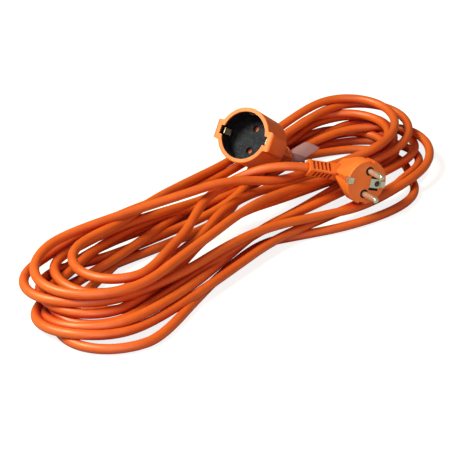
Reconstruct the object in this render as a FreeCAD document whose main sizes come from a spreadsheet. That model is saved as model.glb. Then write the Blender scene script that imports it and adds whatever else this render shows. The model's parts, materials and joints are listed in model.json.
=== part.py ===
import FreeCAD, Part
import math
import os

import Sketcher
from FreeCAD import Placement, Rotation, Vector

# An extension cord for the outdoors: an earthed angled plug, an earthed coupler socket and a round
# three-core cord between them, wound by hand into a long loose hank that lies on the ground.
#
# Row frame: +X along the hank, +Z up, origin on the ground under the middle of the whole.
# Both connectors share one local frame: +Z out of the mating face, X through the two pins or pin
# holes, Y through the two earth contacts. The plug's cord leaves towards -Y, the socket's towards -Z.

SIZES = {
    # cord
    "cord_diameter": 7.4, "core_diameter": 2.6, "core_offset": 1.6,
    # pins and the recess that takes them, as standardised for this pattern
    "pin_spacing": 19.0, "pin_radius": 2.4, "pin_length": 19.0, "pin_tip_radius": 1.5,
    "pin_root_depth": 13.0, "pin_root_radius": 2.1, "pin_step": 0.3, "tail_radius": 1.2, "tail_depth": 17.0,
    "crimp_radius": 1.9, "crimp_length": 6.0,
    # plug body, depths count back from the mating face
    "plug_radius": 18.3, "plug_depth": 34.0, "plug_rim": 6.0, "plug_rear_half": 9.6,
    "plug_rear_diagonal": 10.6, "plug_rear_back": 7.0, "plug_round": 1.6, "face_round": 0.9,
    "key_width": 5.0, "key_depth": 1.8, "key_length": 13.0,
    "earth_track_width": 2.4, "earth_track_depth": 1.3, "earth_track_length": 21.0,
    # plug strain relief: a square bar that stands on its edge
    "plug_sleeve_side": 11.6, "plug_sleeve_start": 8.0, "plug_sleeve_depth": 24.4, "plug_sleeve_length": 33.0,
    "plug_sleeve_tilt": 6.0, "sleeve_taper": 1.2, "sleeve_round": 1.8,
    "collar_length": 2.4, "collar_extra": 0.9,
    "slot_width": 1.8, "slot_length": 7.2, "slot_depth": 2.0, "slot_pitch": 3.5, "slot_count": 5,
    "jacket_in_plug": 17.0,
    # plug pin carrier and earth parts
    "carrier_length": 26.0, "carrier_width": 20.0, "carrier_top": 9.0, "carrier_bottom": 13.0,
    "boss_radius": 3.7, "receptacle_half": 3.7, "receptacle_from": 3.2, "receptacle_to": 12.9,
    "receptacle_wall": 2.3, "receptacle_proud": 0.3, "receptacle_hole": 2.5, "receptacle_hole_at": 10.0,
    "strip_width": 5.2, "strip_thickness": 0.8, "strip_reach": 17.7, "strip_lip": 4.6, "strip_depth": 14.0,
    "strip_shoulder": 4.0, "strip_sink": 2.2, "strip_proud": 0.5,
    # socket shell, depths count back from the mouth
    "shell_radius": 23.2, "shell_rear_radius": 22.0, "shell_straight": 37.0, "shoulder_radius": 17.0,
    "shoulder_depth": 45.5, "neck_radius": 9.0, "neck_depth": 50.0, "shell_round": 3.0, "mouth_round": 0.8,
    "ear_width": 16.4, "ear_reach": 27.0, "ear_tail_reach": 23.0, "ear_tail_depth": 33.0, "ear_round": 2.4,
    "recess_radius": 19.9, "recess_depth": 17.5, "lip_depth": 1.5,
    "socket_sleeve_side": 12.4, "socket_sleeve_from": 46.0, "socket_sleeve_to": 81.0,
    "jacket_in_socket": 22.0,
    # socket insert, shutter and contact block
    "insert_bore": 19.75, "insert_wall": 1.6, "insert_floor": 3.0, "pin_hole_radius": 2.75,
    "earth_slot_width": 7.5, "earth_slot_depth": 2.5, "rib_width": 4.2, "rib_height": 1.5, "rib_from": 3.0,
    "chamber_radius": 17.0, "chamber_depth": 2.6, "shutter_thickness": 1.8, "shutter_gap": 0.35,
    "shutter_radius": 13.4, "shutter_arm": 7.0, "shutter_bore": 2.05, "hub_radius": 2.0,
    "block_radius": 16.8, "block_depth": 38.0, "chamber_half": 3.6,
    "contact_outer": 3.3, "contact_inner": 2.45, "contact_slot": 1.2, "contact_length": 12.0,
    "spring_ring": 3.4, "spring_wire": 0.35,
    "arm_eye_radius": 0.8, "earth_arm_width": 5.0, "earth_arm_thickness": 0.7, "earth_arm_top": 4.0,
    "bridge_width": 5.0, "bridge_thickness": 0.8,
    # where the two connectors lie
    "plug_x": 75.0, "plug_y": -56.9, "plug_z": 37.3,
    "plug_azimuth": -109.2, "plug_elevation": 6.4, "plug_spin": -18.7,
    "socket_x": 31.6, "socket_y": 38.6, "socket_z": 63.9,
    "socket_azimuth": -170.8, "socket_elevation": 34.0, "socket_spin": 0.0,
    # hank
    "hank_base": 16.4, "pad_top": 36.0, "strip_top": 28.0,
    # label on the socket's lead
    "label_width": 15.0, "label_leaf": 26.0, "label_rise": 1.0, "label_front": 7.0, "label_thickness": 0.5,
}

# Outlines of the hank in plan, by hand. The loose turns pinch in at the middle and fan out at both ends.
HANK_OUTLINE = [
    (-222.4, 2), (-216, -36), (-178, -66), (-110, -54), (-30, -34), (30, -48), (100, -68), (150, -67),
    (196, -38), (222.8, 2), (215, 42), (178, 68), (122, 70.5), (40, 62), (-40, 65), (-110, 66),
    (-170, 62), (-210, 38),
]
HANK_OPENING = [
    (-140, 24), (-60, 16), (20, 0), (90, -12), (150, 0), (176, 24), (165, 48), (120, 60), (50, 40), (-50, 38),
]
LEFT_PAD = [(-206, 14), (-196, -20), (-160, -38), (-104, -34), (-92, 4), (-100, 50), (-140, 60), (-186, 50)]
RIGHT_PAD = [
    (206, 16), (192, -16), (156, -34), (126, -36), (122, -28), (160, -12), (182, 18), (170, 50), (128, 62),
    (128, 68), (176, 64), (200, 46),
]
BACK_STRIP = [(-94, 62), (-90, 44), (-40, 38), (8, 31), (15, 40), (8, 56), (-40, 63)]

doc = FreeCAD.newDocument("extension_cord")
sheet = doc.addObject("Spreadsheet::Sheet", "Sizes")
for row, (alias, number) in enumerate(SIZES.items(), start=1):
    sheet.set("A%d" % row, alias)
    sheet.set("B%d" % row, str(number))
    sheet.setAlias("B%d" % row, alias)
doc.recompute()


def value(expression):
    """The number that an expression of the sheet's names comes to."""
    return float(sheet.evalExpression(str(expression)))


def linked(expression):
    """The same expression as other objects have to write it."""
    words = []
    for word in str(expression).split():
        bare = word.strip("()-")
        words.append(word.replace(bare, "Sizes." + bare) if bare in SIZES else word)
    return " ".join(words)


# ---------------------------------------------------------------- sketches and features

def new_body(label):
    body = doc.addObject("PartDesign::Body", label)
    body.Label = label
    return body


def new_sketch(body, plane, lift="0", turn=None):
    """An empty sketch on one of the body's own planes, moved along its normal and turned."""
    sketch = body.newObject("Sketcher::SketchObject", body.Name + "_outline")
    face = [part for part in body.Origin.OriginFeatures if part.Role == plane + "_Plane"][0]
    sketch.AttachmentSupport = [(face, "")]
    sketch.MapMode = "FlatFace"
    sketch.AttachmentOffset = Placement(Vector(0, 0, 0), turn or Rotation())
    sketch.setExpression(".AttachmentOffset.Base.z", linked(lift))
    return sketch


def bind(sketch, kind, *place, expression):
    index = sketch.addConstraint(Sketcher.Constraint(kind, *place, value(expression)))
    sketch.setExpression("Constraints[%d]" % index, linked(expression))


def polygon(body, plane, corners, lift="0", turn=None):
    """A closed outline of straight edges, each corner a pair of expressions."""
    sketch = new_sketch(body, plane, lift, turn)
    spots = [Vector(value(across), value(along), 0) for across, along in corners]
    for index, spot in enumerate(spots):
        sketch.addGeometry(Part.LineSegment(spot, spots[(index + 1) % len(spots)]))
    for index, corner in enumerate(corners):
        sketch.addConstraint(Sketcher.Constraint("Coincident", index, 2, (index + 1) % len(spots), 1))
        for kind, expression in zip(("DistanceX", "DistanceY"), corner):
            bind(sketch, kind, -1, 1, index, 1, expression=expression)
    return sketch


def rectangle(body, plane, low_x, low_y, high_x, high_y, lift="0", turn=None):
    corners = [(low_x, low_y), (high_x, low_y), (high_x, high_y), (low_x, high_y)]
    return polygon(body, plane, corners, lift, turn)


def circles(body, plane, radius, centres=(("0", "0"),), lift="0"):
    sketch = new_sketch(body, plane, lift)
    for index, (across, along) in enumerate(centres):
        middle = Vector(value(across), value(along), 0)
        sketch.addGeometry(Part.Circle(middle, Vector(0, 0, 1), value(radius)))
        bind(sketch, "Radius", index, expression=radius)
        bind(sketch, "DistanceX", -1, 1, index, 3, expression=across)
        bind(sketch, "DistanceY", -1, 1, index, 3, expression=along)
    return sketch


def extrude(kind, sketch, length, towards=1, midplane=False, taper=None):
    """A Pad or Pocket of a sketch; towards is the side of the sketch's plane, 1 or -1."""
    body = sketch.getParentGeoFeatureGroup()
    feature = body.newObject("PartDesign::" + kind, body.Name + "_" + kind.lower())
    feature.Profile = sketch
    feature.setExpression("Length", linked(length))
    feature.Midplane = midplane
    along = 1 if kind == "Pad" else -1
    feature.Reversed = towards != along
    if taper:
        feature.setExpression("TaperAngle", linked(taper))
    doc.recompute()
    return checked_change(feature, kind)


def checked_change(feature, kind):
    """Stops at a feature that failed, or that added or removed nothing."""
    base = feature.BaseFeature
    change = feature.Shape.Volume - (base.Shape.Volume if base else 0.0)
    wrong_way = change <= 0 if kind in ("Pad", "Revolution") else change >= 0
    if "Invalid" in feature.State or "Error" in feature.State or wrong_way:
        raise RuntimeError("%s changed nothing or failed" % feature.Name)
    return feature


def pad(sketch, length, towards=1, midplane=False, taper=None):
    return extrude("Pad", sketch, length, towards, midplane, taper)


def pocket(sketch, length, towards=1, midplane=False):
    return extrude("Pocket", sketch, length, towards, midplane)


def dress(body, kind, radius, wanted):
    """A Fillet or Chamfer on the edges of the body's tip that the test picks."""
    tip = body.Tip
    names = ["Edge%d" % (number + 1) for number, edge in enumerate(tip.Shape.Edges) if wanted(edge)]
    feature = body.newObject("PartDesign::" + kind, body.Name + "_" + kind.lower())
    feature.Base = (tip, names)
    feature.setExpression("Radius" if kind == "Fillet" else "Size", linked(radius))
    doc.recompute()
    if "Invalid" in feature.State or not feature.Shape.isValid():
        raise RuntimeError("%s of %d edges failed" % (feature.Name, len(names)))
    return feature


def edge_middle(edge):
    return edge.valueAt((edge.FirstParameter + edge.LastParameter) / 2)


# ---------------------------------------------------------------- where things lie

def pose(name):
    """Placement of a connector from its azimuth, elevation and spin."""
    azimuth, elevation, spin = (value(name + "_" + angle) for angle in ("azimuth", "elevation", "spin"))
    turn = Rotation(azimuth, 90 - elevation, 0) * Rotation(Vector(0, 0, 1), spin)
    return Placement(Vector(*(value(name + "_" + axis) for axis in "xyz")), turn)


PLUG, SOCKET = pose("plug"), pose("socket")
PIN_SIDES = {"line": -1, "neutral": 1}
ON_EDGE = Rotation(Vector(0, 0, 1), 45)
plug_inside, socket_inside = [], []


def set_in(thing, label, placement, inside=None):
    """Labels a finished sub-part, places it, and notes the shell that it is moulded into."""
    thing.Label = label
    thing.Placement = placement
    if inside is not None:
        inside.append(thing)
    return thing


def cylinder(label, radius, length, low, direction=Vector(0, 0, 1)):
    thing = doc.addObject("Part::Cylinder", label)
    thing.setExpression("Radius", linked(radius))
    thing.setExpression("Height", linked(length))
    return thing, Placement(low, Rotation(Vector(0, 0, 1), direction))


def route(points):
    """A path of straight runs joined by tangent arcs, each as large as its two runs allow."""
    edges, radii, at = [], [], points[0]
    for before, corner, after in zip(points, points[1:], points[2:]):
        back, ahead = before - corner, after - corner
        cut = 0.45 * min(back.Length, ahead.Length)
        half_turn = (math.pi - back.getAngle(ahead)) / 2
        radii.append(cut / math.tan(half_turn))
        inward, outward = Vector(back).normalize(), Vector(ahead).normalize()
        start, end = corner + inward * cut, corner + outward * cut
        to_centre = (inward + outward).normalize() * (radii[-1] / math.cos(half_turn))
        middle = corner + to_centre - Vector(to_centre).normalize() * radii[-1]
        edges += [Part.makeLine(at, start), Part.Arc(start, middle, end).toShape()]
        at = end
    edges.append(Part.makeLine(at, points[-1]))
    return Part.Wire(edges), radii


def tube(label, points, diameter, placement=Placement(), inside=None):
    """A round tube along a route; prints its bends and compares its volume with section times length."""
    path, radii = route(points)
    start = Vector(points[1] - points[0]).normalize()
    ring = Part.Wire(Part.makeCircle(diameter / 2, points[0], start))
    solid = path.makePipeShell([ring], True, False)
    section = math.pi * diameter ** 2 / 4
    print("%s: length %.1f, radii %s, volume over section times length %.4f" % (
        label, path.Length, [round(radius, 1) for radius in radii], solid.Volume / section / path.Length))
    thing = doc.addObject("Part::Feature", label)
    thing.Shape = solid
    return set_in(thing, label, placement, inside)


# ---------------------------------------------------------------- plug

def make_pin(side, label):
    centre = (("%d * pin_spacing / 2" % side, "0"),)
    body = new_body(label)
    pad(circles(body, "XY", "pin_root_radius", centre, "-pin_root_depth"), "pin_step + pin_root_depth")
    pad(circles(body, "XY", "pin_radius", centre, "pin_step"), "pin_length - pin_step")
    tip_z = value("pin_length")
    dress(body, "Fillet", "pin_tip_radius", lambda edge: edge.BoundBox.ZMin > tip_z - 0.1)
    pad(circles(body, "XY", "tail_radius", centre, "-pin_root_depth"), "tail_depth - pin_root_depth", -1)
    return set_in(body, label, PLUG, plug_inside)


def make_earth_strip():
    """One bent strip: across the plug inside, up both walls, out to the sides and over the rim of the face."""
    reach, sunk, tip = "strip_reach", "strip_reach - strip_sink", "strip_reach - strip_lip"
    top, shoulder, thick = "strip_proud", "-strip_shoulder", " - strip_thickness"
    half = [
        (sunk, "-strip_depth"), (sunk, shoulder), (reach, shoulder), (reach, top), (tip, top), (tip, top + thick),
        (reach + thick, top + thick), (reach + thick, shoulder + " + strip_thickness"),
        (sunk + thick, shoulder + " + strip_thickness"), (sunk + thick, "-strip_depth + strip_thickness"),
    ]
    mirror = [("-(%s)" % across, up) for across, up in half]
    corners = half + mirror[::-1]
    body = new_body("plug_earth_strip")
    pad(polygon(body, "YZ", corners), "strip_width", midplane=True)
    return set_in(body, "plug_earth_strip", PLUG, plug_inside)


def make_earth_receptacle():
    """The sleeve that takes a fixed earth pin, a folded box that reaches down to the earth strip."""
    body = new_body("plug_earth_receptacle")
    low = "-strip_depth + strip_thickness"
    pad(rectangle(body, "XY", "-receptacle_half", "receptacle_from", "receptacle_half", "receptacle_to", low),
        "strip_depth - strip_thickness + receptacle_proud")
    hole = circles(body, "XY", "receptacle_hole", (("0", "receptacle_hole_at"),), "receptacle_proud")
    pocket(hole, "10", -1)
    return set_in(body, "plug_earth_receptacle", PLUG, plug_inside)


def make_pin_carrier():
    """The hard insert that holds both pins, with a boss round each pin up to the face."""
    body = new_body("plug_pin_carrier")
    half_x, half_y = "carrier_length / 2", "carrier_width / 2"
    pad(rectangle(body, "XY", "-" + half_x, "-" + half_y, half_x, half_y, "-carrier_bottom"),
        "carrier_bottom - carrier_top")
    centres = [("%d * pin_spacing / 2" % side, "0") for side in PIN_SIDES.values()]
    pad(circles(body, "XY", "boss_radius", centres, "-carrier_top - 0.5"), "carrier_top + 0.5")
    wall = "receptacle_half + receptacle_wall"
    pad(rectangle(body, "XY", "-(%s)" % wall, "receptacle_from", wall, "receptacle_to - 0.8",
                  "-carrier_top - 0.5"), "carrier_top + 0.5")
    pocket(circles(body, "XY", "pin_root_radius", centres, "1"), "30", -1)
    pocket(rectangle(body, "XY", "-receptacle_half", "receptacle_from", "receptacle_half", "receptacle_to",
                     "1"), "30", -1)
    return set_in(body, "plug_pin_carrier", PLUG, plug_inside)


def make_plug_cores():
    """Three crimps behind the pins and the cores that run from them into the jacket."""
    tilt = math.radians(value("plug_sleeve_tilt"))
    along = Vector(0, -math.cos(tilt), -math.sin(tilt))
    neck = Vector(0, -value("plug_sleeve_start"), -value("plug_sleeve_depth"))
    jacket = neck + along * value("jacket_in_plug")
    offset, radius, length = value("core_offset"), value("crimp_radius"), value("crimp_length")
    level = -value("tail_depth") - radius
    starts = {name: Vector(side * value("pin_spacing") / 2, 0, level) for name, side in PIN_SIDES.items()}
    starts["earth"] = Vector(0, 4, -value("strip_depth") - radius)
    for name, start in starts.items():
        crimp, placed = cylinder("plug_%s_crimp" % name, "crimp_radius", "crimp_length",
                                 start + Vector(0, length / 2, 0), Vector(0, -1, 0))
        set_in(crimp, crimp.Name, PLUG * placed, plug_inside)
        side = PIN_SIDES.get(name, 0)
        shift = Vector(side * offset, 0, -0.5 * offset if side else offset)
        begin = start - Vector(0, length / 2, 0)
        points = [begin, begin + Vector(0, -3.5, -0.6), neck + shift + along * 8, jacket + shift]
        tube("plug_%s_core" % name, points, value("core_diameter"), PLUG, plug_inside)
    return jacket, along


def add_slots(placement, along, across, start, label):
    """Cutting blocks for the rows of slots on the four faces of a strain relief."""
    slots = []
    half_side = value(label + "_sleeve_side") / 2
    depth = value("slot_depth")
    for quarter in range(4):
        turn = Rotation(along, 45 + 90 * quarter)
        outward = turn.multVec(across)
        sideways = outward.cross(along)
        for index in range(int(value("slot_count"))):
            shift = (index + (0.5 if quarter % 2 else 0.0)) * value("slot_pitch")
            middle = start + along * shift + outward * (half_side - depth)
            box = doc.addObject("Part::Box", label + "_slot")
            box.setExpression("Length", linked("slot_width"))
            box.setExpression("Width", linked("slot_length"))
            box.setExpression("Height", "5")
            corner = middle - along * (value("slot_width") / 2) - sideways * (value("slot_length") / 2)
            frame = Rotation(along, sideways, outward, "ZXY")
            box.Placement = placement * Placement(corner, frame)
            slots.append(box)
    return slots


def clearance(label, placement, low, high):
    """A room left free inside a cover, from one corner to the other."""
    box = doc.addObject("Part::Box", label)
    for side, shortest, longest in zip(("Length", "Width", "Height"), low, high):
        box.setExpression(side, linked("%s - (%s)" % (longest, shortest)))
    box.Placement = placement * Placement(Vector(*(value(corner) for corner in low)), Rotation())
    return box


def hollow_out(blocks, inside, label):
    """The soft cover: its outer shape less everything that it is moulded round."""
    outer = doc.addObject("Part::MultiFuse", label + "_outside")
    outer.Shapes = blocks
    inner = doc.addObject("Part::MultiFuse", label + "_inside")
    inner.Shapes = inside
    cover = doc.addObject("Part::Cut", label)
    cover.Base, cover.Tool = outer, inner
    cover.Label = label
    doc.recompute()
    return cover


def make_plug_mould():
    body = new_body("plug_mould")
    pad(circles(body, "XY", "plug_radius"), "plug_depth", -1)
    far, rim, rear = "plug_radius + 10", "-plug_rim - 1", "-plug_depth - 0.2"
    edge = "plug_radius + 0.2"
    for plane_turn, rear_at, upper in (
            (45, "plug_rear_diagonal", rim), (-45, "plug_rear_diagonal", rim),
            (0, "plug_rear_half", "-plug_rim - 4")):
        for side in ("", "-"):
            corners = [("%s(%s)" % (side, edge), upper), ("%s(%s)" % (side, rear_at), rear),
                       ("%s(%s)" % (side, far), rear), ("%s(%s)" % (side, far), upper)]
            turn = Rotation(Vector(0, 1, 0), plane_turn)
            pocket(polygon(body, "XZ", corners, "0", turn), "80", 1, midplane=True)
    corners = [(edge, "-plug_rim - 6"), ("plug_rear_back", rear), (far, rear), (far, "-plug_rim - 6")]
    pocket(polygon(body, "YZ", corners), "80", 1, midplane=True)
    limit = -value("plug_rim") - 1.2
    dress(body, "Fillet", "plug_round", lambda edge: edge.BoundBox.ZMin < limit)
    dress(body, "Fillet", "face_round", lambda edge: edge.BoundBox.ZMin > -0.01)
    return body


def add_plug_grooves(body):
    """Key grooves beside the pins and the tracks that lead to the earth contacts."""
    deep = "plug_radius - key_depth"
    for side in ("", "-"):
        reach, floor = "%s(plug_radius + 3)" % side, "%s(%s)" % (side, deep)
        key = rectangle(body, "XY", floor, "-key_width / 2", reach, "key_width / 2")
        pocket(key, "key_length", -1)
        floor = "%s(plug_radius - earth_track_depth)" % side
        track = rectangle(body, "XY", "-earth_track_width / 2", floor, "earth_track_width / 2", reach)
        pocket(track, "earth_track_length", -1)
        notch = rectangle(body, "XY", "-strip_width / 2", "%s(strip_reach - strip_lip)" % side,
                          "strip_width / 2", reach)
        pocket(notch, "strip_shoulder", -1)


def make_sleeve(label, placement, length):
    """A strain relief: a square bar on its edge that narrows to a collar at the cord's end."""
    body = new_body(label + "_sleeve_block")
    half = label + "_sleeve_side / 2"
    pad(rectangle(body, "XY", "-" + half, "-" + half, half, half, "0", ON_EDGE), length, taper="-sleeve_taper")
    end = "%s - 0.7 + collar_extra / 2" % half
    collar = rectangle(body, "XY", "-(%s)" % end, "-(%s)" % end, end, end, length + " - collar_length", ON_EDGE)
    pad(collar, "collar_length")
    dress(body, "Fillet", "sleeve_round", lambda edge: edge.BoundBox.ZLength > 2.0)
    body.Placement = placement
    return body


def make_plug():
    for name, side in PIN_SIDES.items():
        make_pin(side, "plug_%s_pin" % name)
    make_earth_strip()
    make_earth_receptacle()
    make_pin_carrier()
    jacket, along = make_plug_cores()
    body = make_plug_mould()
    add_plug_grooves(body)
    body.Placement = PLUG
    neck = Vector(0, -value("plug_sleeve_start"), -value("plug_sleeve_depth"))
    turn = Rotation(Vector(1, 0, 0), 90 + value("plug_sleeve_tilt"))
    sleeve = make_sleeve("plug", PLUG * Placement(neck, turn), "plug_sleeve_length")
    exit_point = neck + along * value("plug_sleeve_length")
    slots_end = value("plug_sleeve_length") - value("collar_length") - 1.6
    first_slot = neck + along * (slots_end - value("slot_pitch") * (value("slot_count") - 0.5))
    slots = add_slots(PLUG, along, Vector(1, 0, 0), first_slot, "plug")
    bottom = Vector(0, value("receptacle_hole_at"), value("receptacle_proud") - 10)
    earth_pin, placed = cylinder("earth_pin_room", "receptacle_hole", "12", bottom)
    slots.append(set_in(earth_pin, earth_pin.Name, PLUG * placed))
    return [body, sleeve], slots, jacket, exit_point


# ---------------------------------------------------------------- socket

def make_socket_mould():
    """The soft shell's outer shape: a round cup with two ears and a domed shoulder."""
    body = new_body("socket_mould")
    corners = [("0", "0"), ("shell_radius", "0"), ("shell_rear_radius", "-shell_straight"),
               ("shoulder_radius", "-shoulder_depth"), ("neck_radius", "-neck_depth"), ("0", "-neck_depth")]
    outline = polygon(body, "XZ", corners)
    turned = body.newObject("PartDesign::Revolution", "socket_mould_turned")
    turned.Profile = outline
    turned.ReferenceAxis = (outline, ["V_Axis"])
    turned.Angle = 360
    doc.recompute()
    checked_change(turned, "Revolution")
    low, high = -value("neck_depth") + 0.5, -value("shell_straight") + 0.5
    dress(body, "Fillet", "shell_round", lambda edge: low < edge.BoundBox.Center.z < high)
    dress(body, "Fillet", "mouth_round", lambda edge: edge.BoundBox.ZMin > -0.01)
    for side in ("", "-"):
        reach, tail = "%s(ear_reach)" % side, "%s(ear_tail_reach)" % side
        root = "%s(shell_rear_radius - 5)" % side
        corners = [(root, "0"), (reach, "0"), (reach, "-8"), (tail, "-ear_tail_depth"),
                   (root, "-ear_tail_depth")]
        pad(polygon(body, "YZ", corners), "ear_width", midplane=True)
    reach = value("shell_radius") + 1.5
    dress(body, "Fillet", "ear_round", lambda edge: abs(edge_middle(edge).y) > reach)
    pocket(circles(body, "XY", "recess_radius"), "recess_depth", -1)
    return body


def make_insert():
    """The hard cup in the recess: wall, floor with both pin holes, ribs, and a skirt round the shutter."""
    body = new_body("socket_insert")
    outer, floor = "insert_bore + insert_wall", "recess_depth + insert_floor"
    slot, lining = "insert_bore + earth_slot_depth", "earth_slot_width / 2 + insert_wall"
    wall = "%s - lip_depth" % floor
    pad(circles(body, "XY", outer, lift="-(%s)" % floor), wall)
    pad(rectangle(body, "XY", "-(%s)" % lining, "-(%s + insert_wall)" % slot, lining,
                  "%s + insert_wall" % slot, "-(%s)" % floor), wall)
    pocket(circles(body, "XY", "insert_bore"), "recess_depth", -1)
    pocket(rectangle(body, "XY", "-earth_slot_width / 2", "-(%s)" % slot, "earth_slot_width / 2", slot),
           "recess_depth", -1)
    for side in ("", "-"):
        rib = rectangle(body, "XY", "%s(insert_bore - rib_height)" % side, "-rib_width / 2",
                        "%s(insert_bore + 0.5)" % side, "rib_width / 2", "-recess_depth")
        pad(rib, "recess_depth - rib_from")
        gap = rectangle(body, "XY", "-earth_arm_width / 2 - 0.4", "%s(insert_bore - 0.5)" % side,
                        "earth_arm_width / 2 + 0.4", "%s(%s)" % (side, slot), "-recess_depth")
        pocket(gap, "insert_floor", -1)
    centres = [("%d * pin_spacing / 2" % side, "0") for side in PIN_SIDES.values()]
    pocket(circles(body, "XY", "pin_hole_radius", centres), "40", -1)
    skirt = circles(body, "XY", "chamber_radius + insert_wall", lift="-(%s)" % floor)
    skirt.addGeometry(Part.Circle(Vector(0, 0, 0), Vector(0, 0, 1), value("chamber_radius")))
    bind(skirt, "Radius", 1, expression="chamber_radius")
    pad(skirt, "chamber_depth", -1)
    return set_in(body, "socket_insert", SOCKET, socket_inside)


def make_shutter():
    """The child-protection shutter: a bar on the hub that covers both pin holes and turns aside."""
    body = new_body("shutter")
    top = "-(recess_depth + insert_floor + shutter_gap)"
    half, arm = "shutter_radius", "shutter_arm / 2"
    pad(rectangle(body, "XY", "-" + half, "-(%s)" % arm, half, arm, top), "shutter_thickness", -1)
    dress(body, "Fillet", "2.5", lambda edge: edge.BoundBox.ZLength > 1)
    pad(circles(body, "XY", "shutter_arm / 2 + 1.5", lift=top), "shutter_thickness", -1)
    pocket(circles(body, "XY", "shutter_bore"), "40", -1)
    return set_in(body, "shutter", SOCKET)


def make_contact_block():
    """The rear housing: a chamber for each pin contact, a hub for the shutter, a slot for the earth bridge."""
    body = new_body("socket_contact_block")
    top = "-(recess_depth + insert_floor + chamber_depth)"
    depth = "block_depth - (recess_depth + insert_floor + chamber_depth)"
    pad(circles(body, "XY", "block_radius", lift=top), depth, -1)
    pocket(circles(body, "XY", "spring_ring + 4 * spring_wire", lift=top), "3 * spring_wire", -1)
    pad(circles(body, "XY", "hub_radius", lift=top + " - 3 * spring_wire"),
        "3 * spring_wire + chamber_depth - 0.1")
    for side in PIN_SIDES.values():
        middle = "%d * pin_spacing / 2" % side
        chamber = rectangle(body, "XY", middle + " - chamber_half", "-chamber_half",
                            middle + " + chamber_half", "chamber_half", top)
        pocket(chamber, depth + " - 1.2", -1)
    centres = [("%d * pin_spacing / 2" % side, "0") for side in PIN_SIDES.values()]
    pocket(circles(body, "XY", "tail_radius", centres), "60", -1)
    groove = rectangle(body, "XY", "-bridge_width / 2", "-30", "bridge_width / 2", "30", BRIDGE_LEVEL)
    pocket(groove, "bridge_thickness", -1)
    return set_in(body, "socket_contact_block", SOCKET, socket_inside)


BRIDGE_LEVEL = "-30"


def make_contact(side, label):
    """A split sleeve that grips one pin, with a tail through the rear of its chamber."""
    centre = (("%d * pin_spacing / 2" % side, "0"),)
    body = new_body(label)
    base = "-(block_depth - 1.2)"
    pad(circles(body, "XY", "contact_outer", centre, base), "contact_length")
    pocket(circles(body, "XY", "contact_inner", centre, base + " + contact_length"), "contact_length - 1", -1)
    middle = "%d * pin_spacing / 2" % side
    split = rectangle(body, "XY", middle + " - contact_slot / 2", "-8", middle + " + contact_slot / 2", "8",
                      base + " + contact_length")
    pocket(split, "contact_length - 3", -1)
    pad(circles(body, "XY", "tail_radius", centre, base), "1.8", -1)
    return set_in(body, label, SOCKET, socket_inside)


def make_earth_bridge():
    body = new_body("socket_earth_bridge")
    reach = "insert_bore - 0.2"
    strip = rectangle(body, "XY", "-bridge_width / 2", "-(%s)" % reach, "bridge_width / 2", reach, BRIDGE_LEVEL)
    pad(strip, "bridge_thickness", -1)
    return set_in(body, "socket_earth_bridge", SOCKET, socket_inside)


def make_earth_arm(side, label):
    """A spring arm that bows into the recess, where the plug's earth contact rubs along it."""
    sign = "" if side > 0 else "-"
    foot = "insert_bore + 0.3"
    thick = "earth_arm_thickness"
    line = [(foot, BRIDGE_LEVEL), (foot, "-16.3"), ("insert_bore - 2.6", "-9.5"),
            (foot + " - 0.3", "-earth_arm_top")]
    back = [("%s + %s" % (across, thick), up) for across, up in reversed(line)]
    corners = [("%s(%s)" % (sign, across), up) for across, up in line + back]
    body = new_body(label)
    pad(polygon(body, "YZ", corners), "earth_arm_width", midplane=True)
    eye = circles(body, "YZ", "arm_eye_radius", (("%s(%s + %s / 2)" % (sign, foot, thick), BRIDGE_LEVEL),))
    pad(eye, "earth_arm_width", midplane=True)
    return set_in(body, label, SOCKET)


def make_shutter_spring():
    ring = doc.addObject("Part::Torus", "shutter_spring")
    ring.setExpression("Radius1", linked("spring_ring"))
    ring.setExpression("Radius2", linked("spring_wire"))
    level = -value("recess_depth + insert_floor + chamber_depth + 1.5 * spring_wire")
    return set_in(ring, "shutter_spring", SOCKET * Placement(Vector(0, 0, level), Rotation()))


def make_socket_cores():
    """Three crimps behind the contacts and the cores that run from them into the jacket."""
    jacket = Vector(0, 0, value("jacket_in_socket") - value("socket_sleeve_to"))
    top = -value("block_depth") - 0.6
    offset, length = value("core_offset"), value("crimp_length")
    starts = {name: Vector(side * value("pin_spacing") / 2, 0, top) for name, side in PIN_SIDES.items()}
    starts["earth"] = Vector(0, 3.5, top)
    for name, start in starts.items():
        crimp, placed = cylinder("socket_%s_crimp" % name, "crimp_radius", "crimp_length",
                                 start, Vector(0, 0, -1))
        set_in(crimp, crimp.Name, SOCKET * placed, socket_inside)
        side = PIN_SIDES.get(name, 0)
        shift = Vector(side * offset, -0.5 * offset if side else offset, 0)
        begin = start - Vector(0, 0, length)
        points = [begin, begin + Vector(0, 0, -2), jacket + shift + Vector(0, 0, 5), jacket + shift]
        tube("socket_%s_core" % name, points, value("core_diameter"), SOCKET, socket_inside)
    return jacket


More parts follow.
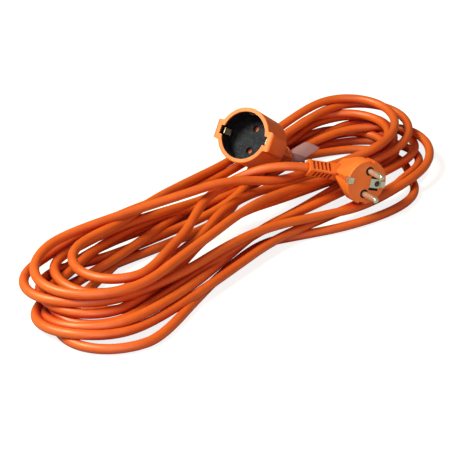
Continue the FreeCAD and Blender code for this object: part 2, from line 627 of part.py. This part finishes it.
def make_socket():
    make_insert()
    make_contact_block()
    for name, side in PIN_SIDES.items():
        make_contact(side, "socket_%s_contact" % name)
    make_earth_bridge()
    for name, side in (("left", 1), ("right", -1)):
        make_earth_arm(side, "earth_spring_arm_" + name)
    make_shutter()
    make_shutter_spring()
    jacket = make_socket_cores()
    body = make_socket_mould()
    body.Placement = SOCKET
    back = Vector(0, 0, -1)
    start = back * value("socket_sleeve_from")
    turn = Rotation(Vector(1, 0, 0), 180)
    sleeve = make_sleeve("socket", SOCKET * Placement(start, turn), "socket_sleeve_to - socket_sleeve_from")
    exit_point = back * value("socket_sleeve_to")
    first_slot = back * (value("socket_sleeve_to") - value("slot_pitch") * value("slot_count") - 5)
    rooms = add_slots(SOCKET, back, Vector(1, 0, 0), first_slot, "socket")
    room_x = "earth_arm_width / 2 + 0.4"
    for sign in (1, -1):
        near, far = sorted((value("insert_bore - 0.3") * sign, value("insert_bore + 2.4") * sign))
        rooms.append(clearance("earth_arm_room", SOCKET, ("-(%s)" % room_x, str(near), BRIDGE_LEVEL + " - 1"),
                               (room_x, str(far), "-recess_depth")))
        near, far = sorted((15.0 * sign, value("insert_bore + earth_slot_depth") * sign))
        rooms.append(clearance("earth_arm_slot", SOCKET, ("-earth_slot_width / 2", str(near), "-recess_depth"),
                               ("earth_slot_width / 2", str(far), "1")))
    level = "-(recess_depth + insert_floor + chamber_depth)"
    chamber, placed = cylinder("shutter_room", "chamber_radius", "chamber_depth", Vector(0, 0, value(level)))
    rooms.append(set_in(chamber, chamber.Name, SOCKET * placed))
    bottom = Vector(0, 0, -value("block_depth"))
    block, placed = cylinder("block_room", "block_radius", "block_depth + " + level, bottom)
    rooms.append(set_in(block, block.Name, SOCKET * placed))
    bottom = Vector(0, 0, -value("recess_depth + insert_floor"))
    recess, placed = cylinder("recess_room", "insert_bore", "recess_depth + insert_floor", bottom)
    rooms.append(set_in(recess, recess.Name, SOCKET * placed))
    return [body, sleeve], rooms, jacket, exit_point


# ---------------------------------------------------------------- cord, hank and label

def outline_face(points, height):
    """A flat face inside a smooth closed line through the points."""
    line = Part.BSplineCurve()
    line.interpolate([Vector(across, along, height) for across, along in points], PeriodicFlag=True)
    return Part.Face(Part.Wire(line.toShape()))


def make_hank():
    """The outer shape of the wound turns: a ring with raised ends and a raised rear run."""
    base = outline_face(HANK_OUTLINE, 0).extrude(Vector(0, 0, value("hank_base")))
    base = base.cut(outline_face(HANK_OPENING, -1).extrude(Vector(0, 0, value("hank_base") + 2)))
    raised = [(LEFT_PAD, "pad_top"), (RIGHT_PAD, "pad_top"), (BACK_STRIP, "strip_top")]
    layers = [outline_face(points, 4).extrude(Vector(0, 0, value(top) - 4)) for points, top in raised]
    thing = doc.addObject("Part::Feature", "cord_hank")
    thing.Shape = base.multiFuse(layers).removeSplitter()
    return set_in(thing, "cord_hank", Placement())


def make_label():
    """A folded strip round the cord: one leaf lies back, the other hangs down in front."""
    body = new_body("label_tag")
    leaf, front, thick = "label_leaf", "label_front", "label_thickness"
    corners = [("0", "0"), (leaf, "label_rise"), (leaf, "label_rise + " + thick), ("-" + thick, thick),
               ("-" + thick, "-" + front), ("0", "-" + front)]
    pad(polygon(body, "XZ", corners), "label_width", -1)
    turn = Rotation(LABEL_AZIMUTH, 0, 0)
    return set_in(body, "label_tag", Placement(LABEL_CORNER, turn))


LABEL_CORNER = Vector(107, 32.5, 19)
LABEL_AZIMUTH = 18


def make_leads(plug_jacket, plug_exit, socket_jacket, socket_exit):
    """The two stretches of cord between the strain reliefs and the hank."""
    diameter = value("cord_diameter")
    start, leaves = PLUG.multVec(plug_jacket), PLUG.multVec(plug_exit)
    along = Vector(leaves - start).normalize()
    points = [start, leaves + along * 8] + [Vector(*spot) for spot in PLUG_LEAD]
    plug_lead = tube("plug_lead", points, diameter)
    start, leaves = SOCKET.multVec(socket_jacket), SOCKET.multVec(socket_exit)
    along = Vector(leaves - start).normalize()
    points = [start, leaves + along * 10] + [Vector(*spot) for spot in SOCKET_LEAD]
    socket_lead = tube("socket_lead", points, diameter)
    return plug_lead, socket_lead


# Corners of the two free stretches after they leave the strain reliefs, by hand, in the row frame.
PLUG_LEAD = [
    (24, 3, 49.5), (10, 17, 43), (-8, 24, 37), (-30, 23, 33.5), (-53, 11, 33), (-78, -3, 33), (-104, -13, 33.5),
]
SOCKET_LEAD = [(126, 52, 7.5), (150, 48, 4.2), (172, 34, 4.0), (186, 16, 4.0)]


plug_blocks, plug_rooms, plug_jacket, plug_exit = make_plug()
socket_blocks, socket_rooms, socket_jacket, socket_exit = make_socket()
plug_lead, socket_lead = make_leads(plug_jacket, plug_exit, socket_jacket, socket_exit)
plug_body = hollow_out(plug_blocks, plug_inside + plug_rooms + [plug_lead], "plug_body")
socket_shell = hollow_out(socket_blocks, socket_inside + socket_rooms + [socket_lead], "socket_shell")
hank = make_hank()
label = make_label()
doc.recompute()

SUBPARTS = [thing for thing in doc.Objects
            if thing in plug_inside + socket_inside
            or thing in [plug_body, socket_shell, hank, label, plug_lead, socket_lead]
            or thing.Label in ("shutter", "shutter_spring", "earth_spring_arm_left", "earth_spring_arm_right")]

failed = [thing.Name for thing in doc.Objects if {"Invalid", "Error"} & set(thing.State)]
bad = [thing.Label for thing in SUBPARTS if thing.Shape.isNull() or not thing.Shape.isValid()]
if failed or bad:
    raise RuntimeError("failed: %s, bad shapes: %s" % (failed, bad))

os.makedirs("parts", exist_ok=True)
for thing in SUBPARTS:
    thing.Shape.exportStep("parts/%s.step" % thing.Label)
print("sub-parts written:", len(SUBPARTS))
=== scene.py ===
"""Looks of the extension cord: the wound cord, the finish of both connectors, the stage and the camera."""

import json
import math

import bpy
import numpy as np
from mathutils import Matrix, Vector


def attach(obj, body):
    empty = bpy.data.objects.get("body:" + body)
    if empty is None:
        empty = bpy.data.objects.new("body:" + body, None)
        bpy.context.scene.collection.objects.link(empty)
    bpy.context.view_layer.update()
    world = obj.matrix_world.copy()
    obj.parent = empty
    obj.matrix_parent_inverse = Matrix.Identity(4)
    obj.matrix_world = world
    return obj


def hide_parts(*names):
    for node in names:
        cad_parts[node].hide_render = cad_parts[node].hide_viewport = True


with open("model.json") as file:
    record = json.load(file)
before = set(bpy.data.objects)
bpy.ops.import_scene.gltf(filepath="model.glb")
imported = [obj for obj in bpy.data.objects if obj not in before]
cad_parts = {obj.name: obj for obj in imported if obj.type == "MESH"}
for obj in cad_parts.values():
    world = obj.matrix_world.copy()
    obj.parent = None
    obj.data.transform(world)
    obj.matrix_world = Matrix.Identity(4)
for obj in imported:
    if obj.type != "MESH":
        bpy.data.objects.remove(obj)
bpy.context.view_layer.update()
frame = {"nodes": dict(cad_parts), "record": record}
MM = 0.001


# ---------------------------------------------------------------- connectors' local frames, in millimetres

def turned(azimuth, elevation, spin):
    """Rotation that points +Z along the azimuth and elevation after a spin about itself."""
    return (Matrix.Rotation(math.radians(azimuth), 3, "Z")
            @ Matrix.Rotation(math.radians(90 - elevation), 3, "Y")
            @ Matrix.Rotation(math.radians(spin), 3, "Z"))


def placed(origin, turn, spot):
    return turn @ Vector(spot) + Vector(origin)


PLUG_AT, PLUG_TURN = (75.0, -56.9, 37.3), turned(-109.2, 6.4, -18.7)
SOCKET_AT, SOCKET_TURN = (31.6, 38.6, 63.9), turned(-170.8, 34.0, 0.0)

SLEEVE_TILT = math.radians(6)
PLUG_NECK = Vector((0, -8, -24.4))
PLUG_WAY = Vector((0, -math.cos(SLEEVE_TILT), -math.sin(SLEEVE_TILT)))
JACKET_IN_PLUG, ROOM_LENGTH, CLEAR_OF_PLUG = 17, 30, 41         # along the strain relief from the neck
SOCKET_END, JACKET_IN_SOCKET, CLEAR_OF_SOCKET = -81, -59, -91   # along the socket's axis from its mouth


# ---------------------------------------------------------------- the cord's route

CORD = 7.4

# Corners of the free stretch from each strain relief.
PLUG_LEAD = [
    (24, 3, 49.5), (10, 17, 43), (-8, 24, 37), (-30, 23, 33.5), (-53, 11, 33), (-78, -3, 33),
    (-104, -13, 33.5),
]
SOCKET_LEAD = [(126, 52, 7.5), (150, 48, 4.2), (171, 36, 4.0), (183, 20, 4.0), (186, 1, 4), (180, -18, 4)]

# The hand-wound turns from the plug's lead to the socket's. Each row is one end of the hank: its side,
# whether it is entered from the back (1) or the front (-1), its reach, the middle and half of its width,
# its lean, its height on entering and leaving, and then the run that crosses to the other side.
ENDS = [
    (-1, -1, 177, 8, 36, 3, 34, 33, [
        (-102, 45, 32), (-60, 55, 29), (-10, 61, 24), (40, 66, 19), (90, 69, 22)]),
    (1, 1, 203, 24, 46, 10, 31, 32, [
        (104, -10, 26), (62, -4, 30), (30, -4, 34), (6, 7, 40), (-18, 17, 43.5), (-48, 28, 40),
        (-88, 42, 36)]),
    (-1, 1, 207, 12, 45, 0, 33, 30, [
        (-110, -28, 33), (-70, -22, 34), (-35, -15, 34), (0, -11, 33), (40, -10, 28), (90, -15, 22)]),
    (1, -1, 218, 22, 44, 8, 24, 29, [
        (110, 64, 22), (60, 62, 14), (0, 58, 16), (-60, 60, 22), (-110, 64, 20)]),
    (-1, 1, 211, 17, 42, -4, 16, 12, [
        (-110, -29, 15), (-60, -24, 18), (-10, -22, 18), (40, -36, 17), (80, -45, 16)]),
    (1, -1, 212, 5, 51, 0, 16, 15, [
        (110, 61, 11), (60, 48, 18), (0, 44, 16), (-60, 46, 22), (-100, 50, 24)]),
    (-1, 1, 187, 16, 36, 1, 21, 19, [
        (-110, -14, 20), (-63, -6, 21), (-20, 10, 24), (30, 16, 20), (80, 4, 14), (120, -8, 20)]),
    (1, -1, 201, 28, 42, 6, 25, 26, [
        (110, 60, 18), (60, 40, 8), (0, 38, 12), (-60, 50, 14), (-120, 48, 12)]),
    (-1, 1, 206, -3, 37, 0, 9, 11, [
        (-110, -33, 11), (-60, -30, 13), (-10, -24, 14), (40, -26, 14), (90, -28, 14)]),
    (1, -1, 217, 14, 42, 4, 12, 13, [
        (110, 64, 4.2), (60, 56, 5), (0, 54, 8), (-60, 42, 12), (-120, 34, 10)]),
    (-1, 1, 212, -6, 41, -3, 8, 8, [
        (-110, -43, 7), (-60, -30, 7), (-10, -18, 8), (40, -18, 8), (90, -16, 10), (130, -18, 14)]),
    (1, -1, 203, 27, 42, 3, 18, 20, [
        (128, 62, 18.5), (100, 63, 18), (72, 52, 18), (45, 36, 14), (0, 30, 6), (-60, 36, 5),
        (-120, 42, 5)]),
    (-1, 1, 204, 8, 38, 2, 10, 13, [
        (-110, -20, 14), (-60, -2, 16), (-10, 6, 18), (40, 4, 12), (90, -2, 10), (130, -12, 12)]),
    (1, -1, 204, 25, 40, 4, 9, 13, [
        (128, 66, 11), (100, 66, 11), (75, 58, 12), (50, 42, 11), (0, 22, 6), (-60, 26, 6),
        (-120, 36, 5)]),
    (-1, 1, 217, -4, 42, -4, 4.3, 4.3, [
        (-110, -42, 4.3), (-60, -36, 4.3), (-10, -30, 4.3), (40, -36, 5), (90, -42, 6), (130, -44, 7)]),
    (1, -1, 208, 10, 50, 2, 7, 7, [
        (112, 57, 4.2), (60, 50, 4), (0, 50, 6), (-60, 56, 8), (-110, 58, 10)]),
    (-1, 1, 194, 14, 40, -2, 8, 7, [
        (-110, -26, 8), (-60, -20, 8), (-10, -12, 6), (40, -10, 5), (90, -8, 5), (130, 0, 8)]),
    (1, -1, 198, 28, 36, 3, 8, 7, [
        (120, 71, 4), (90, 70, 4), (60, 63, 4), (0, 48, 4), (-60, 52, 4), (-120, 34, 4)]),
    (-1, 1, 214, -22, 40, -4, 4, 4, [
        (-102, -41, 4.1), (-55, -28, 4.1), (-10, -22, 4.1), (18, -36, 4.1), (56, -54, 4.1),
        (97, -64, 4.1), (128, -63, 4.1), (147, -54, 4.1), (160, -40, 4)]),
]
POINTS_PER_END = 7
END_DEPTH = 1.3         # an end is this many half widths deep
TIGHTEST_BEND = 35      # unless that would bend it tighter than this


def round_end(side, entered, reach, middle, half, lean, z_in, z_out):
    """The points round one end of the hank, from the side that it is entered by to the other."""
    points = []
    depth = min(END_DEPTH * half, half ** 2 / TIGHTEST_BEND)
    for index in range(POINTS_PER_END):
        share = index / (POINTS_PER_END - 1)
        across, out = math.cos(math.pi * share), math.sin(math.pi * share)
        x = side * (reach - depth * (1 - out)) + lean * entered * across
        points.append((x, middle + entered * half * across, z_in + (z_out - z_in) * share))
    return points


def cord_route():
    """Control points from inside the plug's strain relief to inside the socket's, and which stay put."""
    points = [placed(PLUG_AT, PLUG_TURN, PLUG_NECK + PLUG_WAY * along)
              for along in (JACKET_IN_PLUG, CLEAR_OF_PLUG)]
    points += PLUG_LEAD
    held_first = len(points) - 1
    for *end, run in ENDS:
        points += round_end(*end) + run
    held_last = len(points)
    points += SOCKET_LEAD[::-1]
    points += [placed(SOCKET_AT, SOCKET_TURN, (0, 0, along)) for along in (CLEAR_OF_SOCKET, JACKET_IN_SOCKET)]
    free = np.zeros(len(points))
    free[held_first:held_last] = 1
    return np.array([tuple(point) for point in points]), free


# ---------------------------------------------------------------- laying the turns on each other

SAMPLES = 4             # places between two control points where the turns are kept apart
OWN_NEIGHBOURS = 14     # samples along the cord that don't count as another turn
STEPS = 260
FLOOR_GAP = 0.3         # keeps the smooth line between two control points off the floor
LONGEST_PUSH = 2.0      # off a connector in one step
OVERLAP_SHARE = 0.9     # of an overlap, taken away in one step
SMOOTHING, LAST_SMOOTHING = 0.35, 0.05


def spline_weights(count):
    """How much each control point weighs at each sample of the cord's smooth line."""
    knots = np.concatenate([[0, 0], np.arange(count - 1), [count - 2, count - 2]]).astype(float)
    rows = np.zeros(((count - 2) * SAMPLES + 1, count))
    for row, at in enumerate(np.linspace(0, count - 2, len(rows))):
        first = min(int(at), count - 3)
        k = first + 2
        width = knots[k + 1] - knots[k]
        ahead, behind = (knots[k + 1] - at) / width, (at - knots[k]) / width
        left = ahead / (knots[k + 1] - knots[k - 1])
        right = behind / (knots[k + 2] - knots[k])
        rows[row, first] = left * (knots[k + 1] - at)
        rows[row, first + 1] = left * (at - knots[k - 1]) + right * (knots[k + 2] - at)
        rows[row, first + 2] = right * (at - knots[k])
    return rows


def connector_rooms():
    """Capsules that the turns stay out of: two ends and a radius, and how many samples at the cord's
    plug end and socket end run inside them by right."""
    def plug(*spot):
        return np.array(placed(PLUG_AT, PLUG_TURN, spot))

    def socket(depth):
        return np.array(placed(SOCKET_AT, SOCKET_TURN, (0, 0, -depth)))

    sleeve_end = np.array(placed(PLUG_AT, PLUG_TURN, PLUG_NECK + PLUG_WAY * ROOM_LENGTH))
    return [
        (plug(0, 0, -3), plug(0, 0, -6), 20.5, 20, 0), (plug(0, 0, -17), plug(0, 0, -18), 21.5, 20, 0),
        (plug(0, -3, -26), sleeve_end, 10.0, 20, 0), (socket(6), socket(30), 25.0, 0, 16),
        (socket(30), socket(38), 23.5, 0, 16), (socket(44), socket(79), 9.5, 0, 16),
    ]


def push_apart(line, own):
    """Moves that part the turns where they would run into each other."""
    between = line[:, None, :] - line[None, :, :]
    distance = np.sqrt((between ** 2).sum(2)) + 1e-9
    touching = (distance < CORD) & ~own
    weight = np.where(touching, (CORD - distance) / distance, 0)
    return OVERLAP_SHARE * (weight[:, :, None] * between).sum(1) / np.maximum(touching.sum(1), 1)[:, None]


def push_off(line, rooms):
    """Moves that take the turns out from under the two connectors."""
    moves, order = np.zeros_like(line), np.arange(len(line))
    for start, end, radius, skip_first, skip_last in rooms:
        axis = end - start
        along = np.clip((line - start) @ axis / (axis @ axis), 0, 1)
        away = line - start - along[:, None] * axis
        lacking = radius + CORD / 2 - np.linalg.norm(away, axis=1)
        away[:, 2] = np.minimum(away[:, 2], 0)
        inside = (lacking > 0) & (order >= skip_first) & (order < len(line) - skip_last)
        scale = np.where(inside, np.minimum(lacking, LONGEST_PUSH), 0) / (np.linalg.norm(away, axis=1) + 1e-9)
        moves += scale[:, None] * away
    return moves


def settled(points, free):
    """The control points once every turn lies beside the others, on the floor and clear of the connectors."""
    weights = spline_weights(len(points))
    spread = weights.T / np.maximum(weights.sum(0), 1e-9)[:, None]
    order, rooms = np.arange(len(weights)), connector_rooms()
    own = abs(order[:, None] - order[None, :]) < OWN_NEIGHBOURS
    shift = np.zeros_like(points)
    for step in range(STEPS):
        line = weights @ (points + shift)
        moves = push_apart(line, own) + push_off(line, rooms)
        moves[:, 2] += np.maximum(CORD / 2 + FLOOR_GAP - line[:, 2] - moves[:, 2], 0)
        shift += spread @ moves * free[:, None]
        smooth = shift.copy()
        smooth[1:-1] = 0.25 * shift[:-2] + 0.5 * shift[1:-1] + 0.25 * shift[2:]
        blend = SMOOTHING if step < 0.9 * STEPS else LAST_SMOOTHING
        shift += blend * (smooth - shift) * free[:, None]
    return points + shift


# ---------------------------------------------------------------- materials

def start_material(name):
    """A new material: its node tree, its shader and its object coordinates."""
    material = bpy.data.materials.new(name)
    material.use_nodes = True
    tree = material.node_tree
    place = tree.nodes.new("ShaderNodeTexCoord")
    return material, tree, tree.nodes["Principled BSDF"], place.outputs["Object"]


def set_sockets(shader, **values):
    for name, value in values.items():
        shader.inputs[name.replace("_", " ")].default_value = value


def noise(tree, place, scale, detail=4.0, roughness=0.55, stretch=None):
    """A noise field over the surface, stretched along the axes if asked."""
    if stretch is not None:
        mapping = tree.nodes.new("ShaderNodeMapping")
        mapping.inputs["Scale"].default_value = stretch
        tree.links.new(place, mapping.inputs["Vector"])
        place = mapping.outputs["Vector"]
    field = tree.nodes.new("ShaderNodeTexNoise")
    field.inputs["Scale"].default_value = scale
    field.inputs["Detail"].default_value = detail
    field.inputs["Roughness"].default_value = roughness
    tree.links.new(place, field.inputs["Vector"])
    return field.outputs["Fac"]


def ramp(tree, field, stops):
    """Colours along a field, each stop a position and a colour."""
    node = tree.nodes.new("ShaderNodeValToRGB")
    elements = node.color_ramp.elements
    while len(elements) < len(stops):
        elements.new(0.5)
    for element, (at, colour) in zip(elements, stops):
        element.position = at
        element.color = (*colour, 1)
    tree.links.new(field, node.inputs["Fac"])
    return node.outputs["Color"]


def remap(tree, field, low, high, new_low, new_high):
    node = tree.nodes.new("ShaderNodeMapRange")
    for name, value in (("From Min", low), ("From Max", high), ("To Min", new_low), ("To Max", new_high)):
        node.inputs[name].default_value = value
    tree.links.new(field, node.inputs["Value"])
    return node.outputs["Result"]


def bump(tree, field, height, normal=None):
    """A bump of that height in metres; a second one adds to the first."""
    node = tree.nodes.new("ShaderNodeBump")
    node.inputs["Distance"].default_value = height
    tree.links.new(field, node.inputs["Height"])
    if normal is not None:
        tree.links.new(normal, node.inputs["Normal"])
    return node.outputs["Normal"]


def painted_crevice_shade(tree, colour, shade_colour, reach):
    """Painted shade: the colour where the surface is open, and the darker shade colour painted where another
    surface is close.
    """
    shade = tree.nodes.new("ShaderNodeAmbientOcclusion")
    shade.samples = 8
    shade.inputs["Distance"].default_value = reach
    blend = tree.nodes.new("ShaderNodeMix")
    blend.data_type = "RGBA"
    tree.links.new(remap(tree, shade.outputs["AO"], 0.25, 0.9, 0, 1), blend.inputs["Factor"])
    blend.inputs["A"].default_value = (*shade_colour, 1)
    tree.links.new(colour, blend.inputs["B"])
    return blend.outputs["Result"]


def soft_plastic(name, dark, light, rough_low, rough_high, grain, grain_height, painted_shade=None,
                 painted_shade_reach=0.012, **more):
    """A moulded plastic: cloudy colour, uneven gloss, a fine grain and slow waves in its surface, with
    painted shade in its crevices when a shade colour is given.
    """
    material, tree, shader, place = start_material(name)
    cloud = ramp(tree, noise(tree, place, 38.0, 5.0), [(0.3, dark), (0.7, light)])
    # painted shade: the cloudy colour turns to the given shade colour where another surface is close
    if painted_shade is not None:
        cloud = painted_crevice_shade(tree, cloud, painted_shade, painted_shade_reach)
    tree.links.new(cloud, shader.inputs["Base Color"])
    patches = noise(tree, place, 95.0, 3.0)
    tree.links.new(remap(tree, patches, 0.3, 0.7, rough_low, rough_high), shader.inputs["Roughness"])
    waves = bump(tree, noise(tree, place, 60.0, 2.0), 0.0004)
    fine = bump(tree, noise(tree, place, grain, 2.0), grain_height, waves)
    tree.links.new(fine, shader.inputs["Normal"])
    set_sockets(shader, **more)
    return material


def metal(name, dark, light, roughness, scratch_height, metallic=1.0):
    """Plated or bare metal with fine drawn lines, faint smudges and near-black painted shade in its crevices.
    """
    material, tree, shader, place = start_material(name)
    smudge = noise(tree, place, 160.0, 4.0)
    # painted shade: near black where another surface is within 3 mm
    colour = painted_crevice_shade(tree, ramp(tree, smudge, [(0.35, dark), (0.65, light)]), (0.01, 0.01, 0.01), 0.003)
    tree.links.new(colour, shader.inputs["Base Color"])
    tree.links.new(remap(tree, smudge, 0.3, 0.7, roughness, roughness + 0.14), shader.inputs["Roughness"])
    lines = noise(tree, place, 900.0, 2.0, stretch=(1.0, 1.0, 0.15))
    tree.links.new(bump(tree, lines, scratch_height), shader.inputs["Normal"])
    set_sockets(shader, Metallic=metallic)
    return material


def core_plastic(name, dark, light):
    """The smooth insulation of one wire."""
    return soft_plastic(name, dark, light, 0.35, 0.45, 2000.0, 0.00002)


def make_materials():
    # the jacket's deep red colour between close turns is painted shade
    jacket = soft_plastic("cord_jacket", (0.61, 0.080, 0.003), (0.71, 0.110, 0.005), 0.44, 0.54, 1500.0,
                          0.00003, painted_shade=(0.46, 0.016, 0.002), Specular_IOR_Level=0.80)
    # the moulding's deep red in its slots and crevices is painted shade
    moulding = soft_plastic("moulding", (0.76, 0.136, 0.012), (0.86, 0.170, 0.018), 0.46, 0.56, 2600.0,
                            0.00004, painted_shade=(0.42, 0.010, 0.002), painted_shade_reach=0.004,
                            Specular_IOR_Level=0.80)
    black = grained_black()
    shutter = soft_plastic("shutter_red", (0.42, 0.045, 0.015), (0.60, 0.080, 0.030), 0.40, 0.50, 1800.0,
                           0.00003)
    # the label's darker colour near the cord and under its fold is painted shade
    label = soft_plastic("label_film", (0.41, 0.19, 0.25), (0.54, 0.29, 0.36), 0.25, 0.38, 700.0, 0.00012,
                         painted_shade=(0.22, 0.10, 0.10), painted_shade_reach=0.006, Transmission_Weight=0.2)
    return {
        "cord_jacket": jacket, "moulding": moulding, "black_insert": black, "shutter_red": shutter,
        "nickel": metal("nickel", (0.76, 0.76, 0.74), (0.90, 0.90, 0.88), 0.20, 0.00001, metallic=0.85),
        "brass": metal("brass", (0.48, 0.43, 0.34), (0.62, 0.56, 0.45), 0.28, 0.00001),
        "spring_steel": metal("spring_steel", (0.42, 0.42, 0.42), (0.58, 0.58, 0.57), 0.26, 0.00001),
        "brown_core": core_plastic("brown_core", (0.09, 0.035, 0.015), (0.13, 0.05, 0.02)),
        "blue_core": core_plastic("blue_core", (0.02, 0.09, 0.35), (0.03, 0.13, 0.45)),
        "earth_core": core_plastic("earth_core", (0.10, 0.30, 0.04), (0.65, 0.55, 0.03)),
        "label_film": label,
    }


def grained_black():
    """The hard black of the socket's insert: spark-eroded grain that glints where it catches the light."""
    material, tree, shader, place = start_material("black_insert")
    cloud = noise(tree, place, 260.0, 5.0)
    tree.links.new(ramp(tree, cloud, [(0.35, (0.004, 0.0045, 0.006)), (0.62, (0.012, 0.013, 0.016))]),
                   shader.inputs["Base Color"])
    patches = noise(tree, place, 420.0, 3.0)
    tree.links.new(remap(tree, patches, 0.3, 0.7, 0.34, 0.62), shader.inputs["Roughness"])
    grain = bump(tree, noise(tree, place, 1100.0, 3.0, 0.7), 0.00035)
    set_sockets(shader, Specular_IOR_Level=0.3, Specular_Tint=(0.62, 0.60, 1.0, 1))
    tree.links.new(bump(tree, noise(tree, place, 300.0, 2.0), 0.0003, grain), shader.inputs["Normal"])
    return material


def dress_nodes(materials):
    """Gives every CAD node the finish that its record names."""
    for entry in frame["record"]["subparts"]:
        for place in frame["nodes"][entry["node"]].material_slots:
            place.material = materials[entry["material_slot"]]


# ---------------------------------------------------------------- pieces

def make_cord(materials):
    points, free = cord_route()
    points = settled(points, free)[::-1]
    curve = bpy.data.curves.new("wound_cord", "CURVE")
    curve.dimensions = "3D"
    curve.bevel_depth = CORD / 2 * MM
    curve.bevel_resolution = 7
    curve.resolution_u = 8
    curve.use_fill_caps = True
    spline = curve.splines.new("NURBS")
    spline.points.add(len(points) - 1)
    for point, spot in zip(spline.points, points):
        point.co = (*(spot * MM), 1)
    spline.order_u = 3
    spline.use_endpoint_u = True
    curve.materials.append(materials["cord_jacket"])
    cord = bpy.data.objects.new("wound_cord", curve)
    bpy.context.scene.collection.objects.link(cord)
    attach(cord, "cord_set")
    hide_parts("cord_hank", "plug_lead", "socket_lead")


# The label's film from the end of its back leaf, over the cord and down in front: a place on its left edge
# and one on its right edge.
LABEL_EDGES = [
    ((123.6, 49.6, 22.7), (129.5, 37.6, 18.8)), ((123.2, 49.6, 22.7), (129.1, 37.5, 18.8)),
    ((116.0, 49.4, 22.4), (122.4, 36.4, 18.6)), ((108.0, 49.0, 22.0), (114.8, 35.2, 18.6)),
    ((101.6, 48.7, 21.3), (108.4, 34.2, 18.8)), ((101.2, 48.6, 21.1), (108.0, 34.1, 18.7)),
    ((101.0, 48.4, 20.7), (107.8, 34.2, 18.3)), ((101.3, 47.6, 20.1), (107.9, 35.0, 17.6)),
    ((101.0, 46.0, 16.8), (107.8, 35.8, 15.2)), ((100.2, 45.0, 12.6), (108.4, 36.4, 12.2)),
]
LABEL_STEPS = 14        # faces across the film
LABEL_CROWN = 0.9       # how far the film bows up between its edges
FILM = 0.25


def make_label(materials):
    """A folded film that lies on the cord with one leaf and hangs down in front with the other."""
    rows = []
    for left, right in LABEL_EDGES:
        left, right = Vector(left), Vector(right)
        shares = [index / LABEL_STEPS for index in range(LABEL_STEPS + 1)]
        rows.append([left.lerp(right, share) + Vector((0, 0, LABEL_CROWN * math.sin(math.pi * share)))
                     for share in shares])
    width = LABEL_STEPS + 1
    faces = [(row * width + col, row * width + col + 1, (row + 1) * width + col + 1, (row + 1) * width + col)
             for row in range(len(rows) - 1) for col in range(LABEL_STEPS)]
    mesh = bpy.data.meshes.new("label")
    mesh.from_pydata([spot * MM for row in rows for spot in row], [], faces)
    label = bpy.data.objects.new("label", mesh)
    bpy.context.scene.collection.objects.link(label)
    smooth = label.modifiers.new("curl", "SUBSURF")
    smooth.levels = smooth.render_levels = 2
    smooth.boundary_smooth = "PRESERVE_CORNERS"
    thick = label.modifiers.new("film", "SOLIDIFY")
    thick.thickness = FILM * MM
    thick.offset = 0
    for face in mesh.polygons:
        face.use_smooth = True
    mesh.materials.append(materials["label_film"])
    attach(label, "cord_set")
    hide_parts("label_tag")


# ---------------------------------------------------------------- stage, light and camera

def make_stage():
    """A wide grey floor that takes the object's shadow and glows for the camera's rays, so it looks white."""
    bpy.ops.mesh.primitive_plane_add(size=8.0, location=(0, 0, 0))
    floor = bpy.context.object
    floor.name = "floor"
    material, tree, shader, _ = start_material("floor")
    set_sockets(shader, Roughness=0.7, Specular_IOR_Level=0.2)
    shader.inputs["Base Color"].default_value = (0.36, 0.36, 0.36, 1)
    path = tree.nodes.new("ShaderNodeLightPath")
    glow = tree.nodes.new("ShaderNodeEmission")
    tree.links.new(path.outputs["Is Camera Ray"], glow.inputs["Strength"])
    glow.inputs["Color"].default_value = (0.82, 0.82, 0.82, 1)
    both = tree.nodes.new("ShaderNodeAddShader")
    tree.links.new(shader.outputs["BSDF"], both.inputs[0])
    tree.links.new(glow.outputs["Emission"], both.inputs[1])
    tree.links.new(both.outputs["Shader"], tree.nodes["Material Output"].inputs["Surface"])
    floor.data.materials.append(material)


def make_world():
    world = bpy.data.worlds.new("studio")
    world.use_nodes = True
    bpy.context.scene.world = world
    tree = world.node_tree
    soft = tree.nodes["Background"]
    soft.inputs["Color"].default_value = (1.0, 0.70, 0.60, 1)
    soft.inputs["Strength"].default_value = 0.17
    seen = tree.nodes.new("ShaderNodeBackground")
    seen.inputs["Color"].default_value = (1, 1, 1, 1)
    path = tree.nodes.new("ShaderNodeLightPath")
    mix = tree.nodes.new("ShaderNodeMixShader")
    tree.links.new(path.outputs["Is Camera Ray"], mix.inputs["Fac"])
    tree.links.new(soft.outputs["Background"], mix.inputs[1])
    tree.links.new(seen.outputs["Background"], mix.inputs[2])
    tree.links.new(mix.outputs["Shader"], tree.nodes["World Output"].inputs["Surface"])


def add_softbox(name, place, size, power, colour):
    """A square area light that faces the middle of the object."""
    lamp = bpy.data.lights.new(name, "AREA")
    lamp.size = size
    lamp.energy = power
    lamp.color = colour
    box = bpy.data.objects.new(name, lamp)
    box.location = place
    box.rotation_euler = (-Vector(place)).to_track_quat("-Z", "Y").to_euler()
    bpy.context.scene.collection.objects.link(box)


def make_camera():
    azimuth, elevation = math.radians(-47), math.radians(28)
    target, distance = Vector((-0.0266, 0.0043, 0.016)), 1.267
    back = Vector((math.sin(azimuth) * math.cos(elevation), -math.cos(azimuth) * math.cos(elevation),
                   math.sin(elevation)))
    lens = bpy.data.cameras.new("camera")
    lens.sensor_width = 36
    lens.lens = 128
    camera = bpy.data.objects.new("camera", lens)
    camera.location = target + back * distance
    camera.rotation_euler = (-back).to_track_quat("-Z", "Y").to_euler()
    bpy.context.scene.collection.objects.link(camera)
    bpy.context.scene.camera = camera


bpy.context.scene.view_settings.view_transform = "Standard"
make_camera()
make_stage()
make_world()
add_softbox("key", (-0.95, 0.45, 1.4), 0.60, 44, (0.88, 1.0, 0.62))
add_softbox("fill", (-1.0, -1.3, 0.8), 1.0, 14, (1.0, 0.80, 0.70))

finishes = make_materials()
dress_nodes(finishes)
make_cord(finishes)
make_label(finishes)
